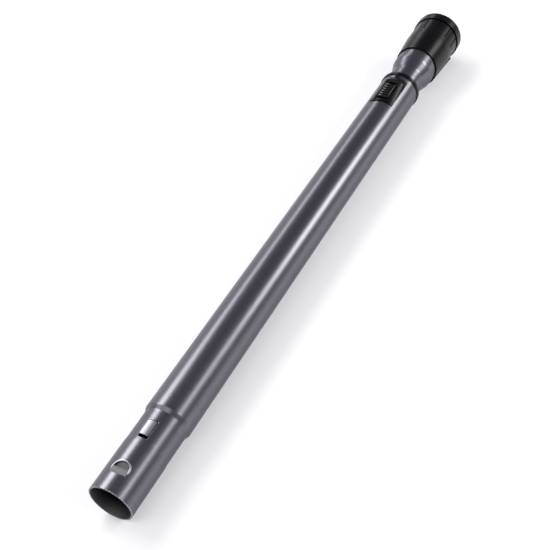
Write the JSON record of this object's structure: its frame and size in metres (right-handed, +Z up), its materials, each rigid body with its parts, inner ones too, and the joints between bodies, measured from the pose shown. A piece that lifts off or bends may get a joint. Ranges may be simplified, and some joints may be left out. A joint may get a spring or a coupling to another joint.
{
  "type": "telescopic vacuum wand",
  "caption": "Telescopic vacuum wand: a steel tube slides in another, a thumb slider locks it, a sprung catch and a release collar join it to tool and hose.",
  "frame": {"origin": "centre of the spigot's mouth, on the tube axis", "axes": "+Y along the wand from the spigot to the socket, +Z up through the thumb slider, +X to the right"},
  "size_m": [0.0484, 0.612, 0.0486],
  "materials": {
    "lacquered_steel": "satin metallic lacquer",
    "bright_steel": "bright spring steel",
    "black_plastic": "satin moulded",
    "button_plastic": "smooth moulded",
    "black_rubber": "matt",
    "felt": "pressed felt"
  },
  "bodies": {
    "outer": {"outer_tube": "lacquered_steel", "guide_ring": "black_plastic", "wiper_ring": "felt", "slider_housing": "black_plastic", "lock_carrier": "black_plastic", "pawl_pin": "bright_steel", "pawl_spring": "bright_steel"},
    "catch": {"catch_ring": "bright_steel"},
    "button": {"slide_button": "button_plastic"},
    "pawl": {"lock_pawl": "bright_steel"},
    "inner": {"inner_tube": "lacquered_steel", "tube_bush": "black_plastic", "seal_ring": "felt", "coupling_liner": "black_plastic", "socket_seal": "black_rubber", "end_ring": "black_plastic", "sleeve_spring": "bright_steel", "latch_pin": "bright_steel", "latch_spring": "bright_steel"},
    "sleeve": {"release_sleeve": "black_plastic"},
    "latch_body": {"latch": "black_plastic"}
  },
  "joints": [
    {"name": "telescope", "type": "slide", "parent": "outer", "child": "inner", "axis": [0, 1, 0], "range_m": [0, 0.35]},
    {"name": "catch_press", "type": "slide", "parent": "outer", "child": "catch", "axis": [0, 0, -1], "range_m": [0, 0.0012], "stiffness_N_per_m": 2000, "springref_m": -0.001},
    {"name": "button_slide", "type": "slide", "parent": "outer", "child": "button", "axis": [0, 1, 0], "range_m": [0, 0.0055], "stiffness_N_per_m": 600, "springref_m": -0.003},
    {"name": "pawl_rock", "type": "hinge", "parent": "outer", "child": "pawl", "pos_m": [0, 0.475, 0.0174], "axis": [-1, 0, 0], "range_deg": [0, 6.31], "deforming": ["pawl_spring"]},
    {"name": "sleeve_slide", "type": "slide", "parent": "inner", "child": "sleeve", "axis": [0, -1, 0], "range_m": [0, 0.0042], "stiffness_N_per_m": 1000, "springref_m": -0.003, "deforming": ["sleeve_spring"]},
    {"name": "latch_rock", "type": "hinge", "parent": "inner", "child": "latch_body", "pos_m": [0, 0.5865, 0.0189], "axis": [1, 0, 0], "range_deg": [0, 8.6], "deforming": ["latch_spring"]}
  ],
  "couplings": [
    {"joint": "pawl_rock", "follows": "button_slide", "rad_per_m": 20},
    {"joint": "latch_rock", "follows": "sleeve_slide", "rad_per_m": 35.714}
  ]
}
